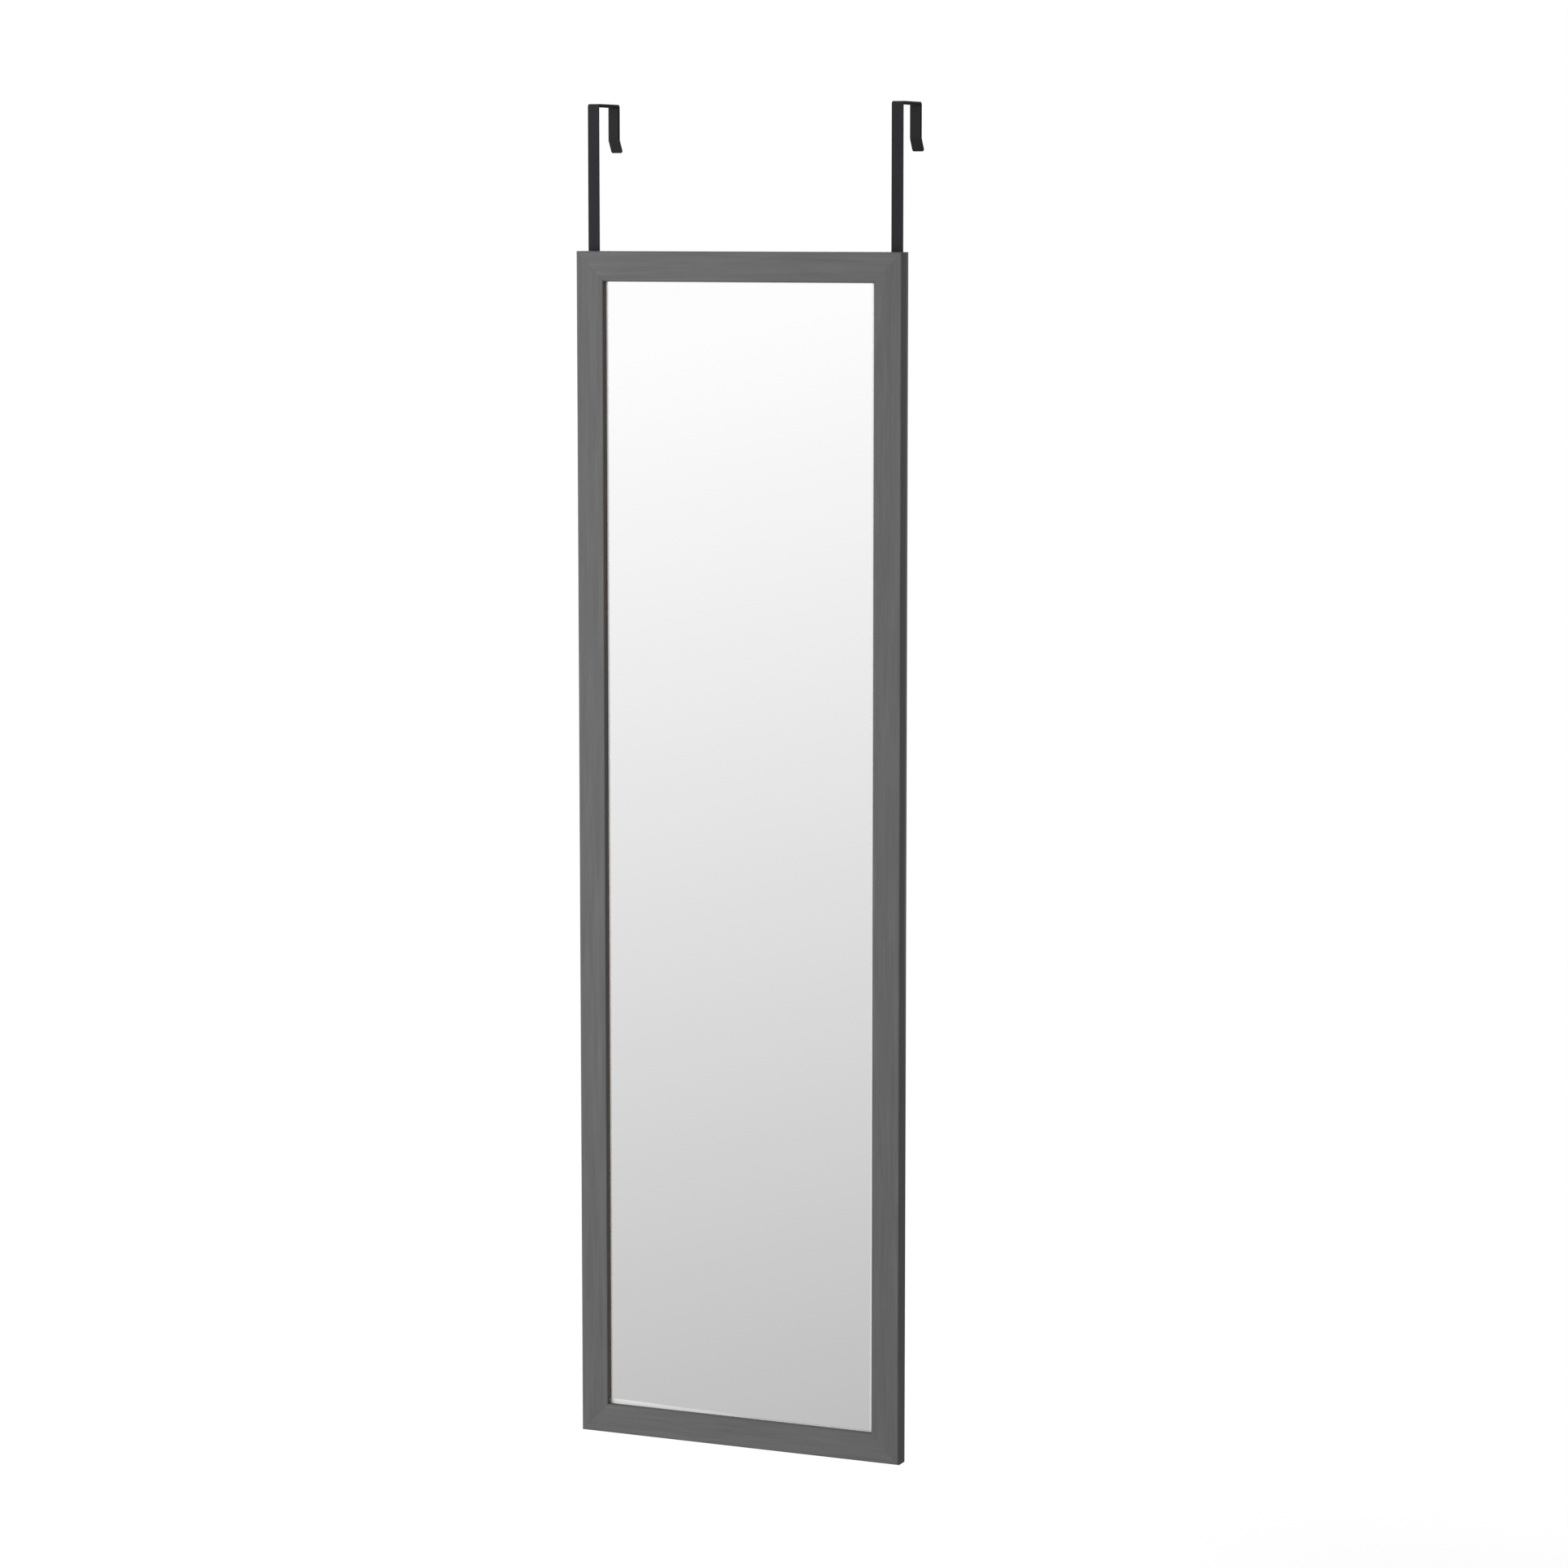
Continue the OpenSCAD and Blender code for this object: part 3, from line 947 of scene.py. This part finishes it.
def screw_body(top, tip):
    """The turned and threaded body, from the head's top face at Y = top to the point at Y = tip."""
    long = top - tip
    root = SCREW_RADIUS - THREAD_DEEP
    thread_from = HEAD_HIGH + SHANK_PLAIN
    head = 2 * SCREW_RADIUS
    stations = [(0.0, head - HEAD_EDGE_WIDE), (HEAD_EDGE_HIGH, head), (HEAD_HIGH, SCREW_RADIUS)]
    levels = [(top - down, [radius] * SCREW_SIDES) for down, radius in stations]
    count = int((long - thread_from) / THREAD_PITCH * RINGS_PER_TURN)
    for i in range(count + 1):
        down = thread_from + (long - thread_from) * i / count
        taper = min(1.0, max(TIP_BLUNT, (long - down) / TIP_LONG))
        radii = []
        for side in range(SCREW_SIDES):
            phase = (down / THREAD_PITCH - side / SCREW_SIDES) % 1.0
            crest = max(0.0, 1.0 - abs(2.0 * phase - 1.0) * THREAD_STEEP)
            radii.append((root + THREAD_DEEP * crest) * taper)
        levels.append((top - down, radii))
    return turned_skin("screw_body", SCREW_SIDES, levels)


def recess_punch(top):
    """A tapered cross with a blunt point, which stands in the head's top face."""
    blades = []
    for along in (0, 2):
        rings = []
        for down, span, wide in RECESS_STATIONS:
            half = [RECESS_WIDE * wide / 2, 0, RECESS_WIDE * wide / 2]
            half[along] = RECESS_SPAN * span / 2
            rings.append([(x * half[0], top - down, z * half[2]) for x, z in SQUARE])
        blades.append(skin("blade", rings))
    return blades


def cut(mesh, cutters):
    """A mesh less some others."""
    block = bpy.data.objects.new("block", mesh)
    bpy.context.scene.collection.objects.link(block)
    tools = []
    for cutter in cutters:
        tool = bpy.data.objects.new("tool", cutter)
        bpy.context.scene.collection.objects.link(tool)
        modifier = block.modifiers.new("cut", "BOOLEAN")
        modifier.operation = "DIFFERENCE"
        modifier.object = tool
        tools.append(tool)
    evaluated = block.evaluated_get(bpy.context.evaluated_depsgraph_get())
    result = bpy.data.meshes.new_from_object(evaluated)
    for spent in (block, *tools):
        bpy.data.objects.remove(spent)
    return result


zinc = zinc_finish()
row_from = screws_low.z + head_radius
row_to = screws_high.z - head_radius
one_screw = cut(screw_body(screws_high.y, screws_low.y), recess_punch(screws_high.y))
new_piece(
    "zinc_screws",
    laid_out(
        one_screw,
        {
            "First": (hook_centre, 0.0, row_from),
            "Step": (0.0, 0.0, row_to - row_from),
            "Count": 2,
            "Turn": 0.0,
            "Centre": (0.0, 0.0, (row_from + row_to) / 2),
            "Finish": zinc,
        },
    ),
    [],
    "zinc_steel",
    "hook_screws",
)
print(f"screws: 4, each {(screws_high.y - screws_low.y) / MM:.0f} mm long")

# %% [markdown]
# ## Glazing points
#
# Flat steel points hold the glass, the foam and the board in the rebate. One end is cut to an arrow and
# driven into the moulding, and the other is a tab that springs up a little, so that it can be lifted when
# the glass is changed. The shape is a skin through thin rectangles along its length. The layout tree puts
# one pair of rows along the stiles and another along the rails.

# %% Make the glazing points
POINT_LONG = 14.0 * MM
POINT_WIDE = 6.0 * MM
POINT_ARROW = 3.0 * MM
POINT_TIP = 0.12
POINT_TAB = 2.5 * MM
POINT_SPRING = 0.9 * MM
TAB_SHARES = ((0.35, 1.0), (0.7, 1.0), (0.9, 0.93), (1.0, 0.72))
WIDEST_SPACING = 200 * MM
ROUNDING = 1e-6

points_low, points_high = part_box("glazing_points")
point_thick = points_high.y - points_low.y


def glazing_point():
    """One point, lying along +Z from its driven tip at the origin."""
    flat = POINT_LONG - POINT_TAB
    stations = [(0.0, POINT_TIP, 0.0), (POINT_ARROW, 1.0, 0.0), (flat, 1.0, 0.0)]
    for share, width in TAB_SHARES:
        stations.append((flat + POINT_TAB * share, width, POINT_SPRING * share**2))
    rings = []
    for up, width, spring in stations:
        half = POINT_WIDE * width / 2
        low = points_low.y + spring
        high = low + point_thick
        rings.append([(-half, low, up), (half, low, up), (half, high, up), (-half, high, up)])
    return skin("glazing_point", rings)


def point_rows(shape, first, along, sight, turn):
    """Points spread evenly along two facing members, each with so much glass in sight."""
    count = max(2, math.ceil(sight / WIDEST_SPACING - ROUNDING))
    spacing = sight / count
    start = list(first)
    start[along] += (spacing - sight) / 2
    step = [0.0, 0.0, 0.0]
    step[along] = spacing
    values = {"First": start, "Step": step, "Count": count, "Turn": turn, "Centre": (0, 0, MIDDLE)}
    return laid_out(shape, {**values, "Finish": zinc})


one_point = glazing_point()
on_stiles = (points_low.x, 0.0, MIDDLE)
on_rails = (0.0, 0.0, points_low.z)
point_meshes = [
    point_rows(one_point, on_stiles, 2, 2 * (HALF_HEIGHT - FACE), math.pi / 2),
    point_rows(one_point, on_rails, 0, 2 * (HALF_WIDTH - FACE), 0.0),
]
new_piece("zinc_points", together("zinc_points", point_meshes), [], "zinc_steel", "glazing_points")
print("glazing points:", sum(len(mesh.polygons) for mesh in point_meshes) // len(one_point.polygons))

# %% [markdown]
# ## V nails
#
# The mitres are glued and pulled together by V nails, short pieces of folded steel strip that are driven
# in across the joint from behind. Only their folded edge shows, as a fine bright angle in the back of each
# corner. The leading edge is ground sharp on one side. Two corners that lie opposite each other are one
# call of the layout tree, and the other two are the same call turned by a quarter.

# %% Make the V nails
NAIL_WING = 7.0 * MM
NAIL_THICK = 0.5 * MM
NAIL_INSET = 5.0 * MM
NAIL_PITCH = 10.0 * MM
NAILS_PER_CORNER = 2
NAIL_GROUND = 0.8 * MM
NAIL_SHARP = 0.2

nails_low, nails_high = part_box("v_nails")


def v_nail():
    """One nail, its fold at the origin and its wings along +X and +Z."""
    rings = []
    ground_from = nails_low.y + NAIL_GROUND
    for y, thick in ((nails_high.y, 1.0), (ground_from, 1.0), (nails_low.y, NAIL_SHARP)):
        wide = NAIL_THICK * thick
        flat_wing = [(0.0, 0.0), (NAIL_WING, 0.0), (NAIL_WING, wide)]
        upright_wing = [(wide, wide), (wide, NAIL_WING), (0.0, NAIL_WING)]
        rings.append([(x, y, z) for x, z in flat_wing + upright_wing])
    return skin("v_nail", rings)


def corner_nails(shape, side, turn):
    """The nails of one lower corner and of the upper corner opposite it."""
    x = side * (HALF_WIDTH - NAIL_INSET)
    z = MIDDLE - HALF_HEIGHT + NAIL_INSET
    step = (-side * NAIL_PITCH, 0.0, NAIL_PITCH)
    values = {"First": (x, 0.0, z), "Step": step, "Count": NAILS_PER_CORNER, "Turn": turn}
    return laid_out(shape, {**values, "Centre": (0, 0, MIDDLE), "Finish": zinc})


one_nail = v_nail()
nail_meshes = [corner_nails(one_nail, -1, 0.0), corner_nails(one_nail, 1, -math.pi / 2)]
new_piece("zinc_v_nails", together("zinc_v_nails", nail_meshes), [], "zinc_steel", "v_nails")
print("V nails:", sum(len(mesh.polygons) for mesh in nail_meshes) // len(one_nail.polygons))

# %% [markdown]
# ## Pads and bumpers
#
# Strips of thin black foam keep the steel off the door's paint, one under each hook's top and one on its
# back leg. They are cut from a sheet, so slabs with slightly rounded edges will do. At the lower corners
# two round bumpers keep the frame parallel to the door. A bumper is moulded, with a soft shoulder and a
# shallow dish in its face, so it is turned from a short row of radii.

# %% Make the pads and the bumpers
FOAM_BLACK = (0.030, 0.030, 0.032, 1.0)
BLACK_PORES = 1500.0
PAD_ROUND = 0.25 * MM
BUMPER_SIDES = 48
BUMPER_SHOULDER = ((0.0, 1.0), (0.55, 1.0), (0.75, 0.985), (0.9, 0.94), (0.98, 0.87))
BUMPER_FACE = ((1.0, 0.78), (1.0, 0.55))
DISH_WIDE = 0.35
DISH_DEEP = 0.25 * MM

black_foam = foam_finish("black_foam", FOAM_BLACK, BLACK_PORES)


def bumper_mesh(name, low, high):
    """A round bumper that fills a box from its glued face at low.y to its dished face at high.y."""
    middle = (low + high) / 2
    radius = (high.x - low.x) / 2
    tall = high.y - low.y
    stations = BUMPER_SHOULDER + BUMPER_FACE
    profile = [(low.y + tall * up, radius * share) for up, share in stations]
    profile.append((high.y - DISH_DEEP, radius * DISH_WIDE))
    levels = [(y, [r] * BUMPER_SIDES) for y, r in profile]
    return turned_skin(name, BUMPER_SIDES, levels, middle.x, middle.z)


for side in ("left", "right"):
    for place in ("top", "leg"):
        name = f"{side}_{place}_foam"
        node = f"{place}_pad_{side}"
        pad = new_piece(name, slab(name, *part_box(node), PAD_ROUND), [black_foam], "black_foam", node)
    name = f"{side}_bumper"
    node = f"bumper_{side}"
    bumper = new_piece(name, bumper_mesh(name, *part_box(node)), [black_foam], "black_foam", node)
print("foam pads: 4, bumpers: 2")
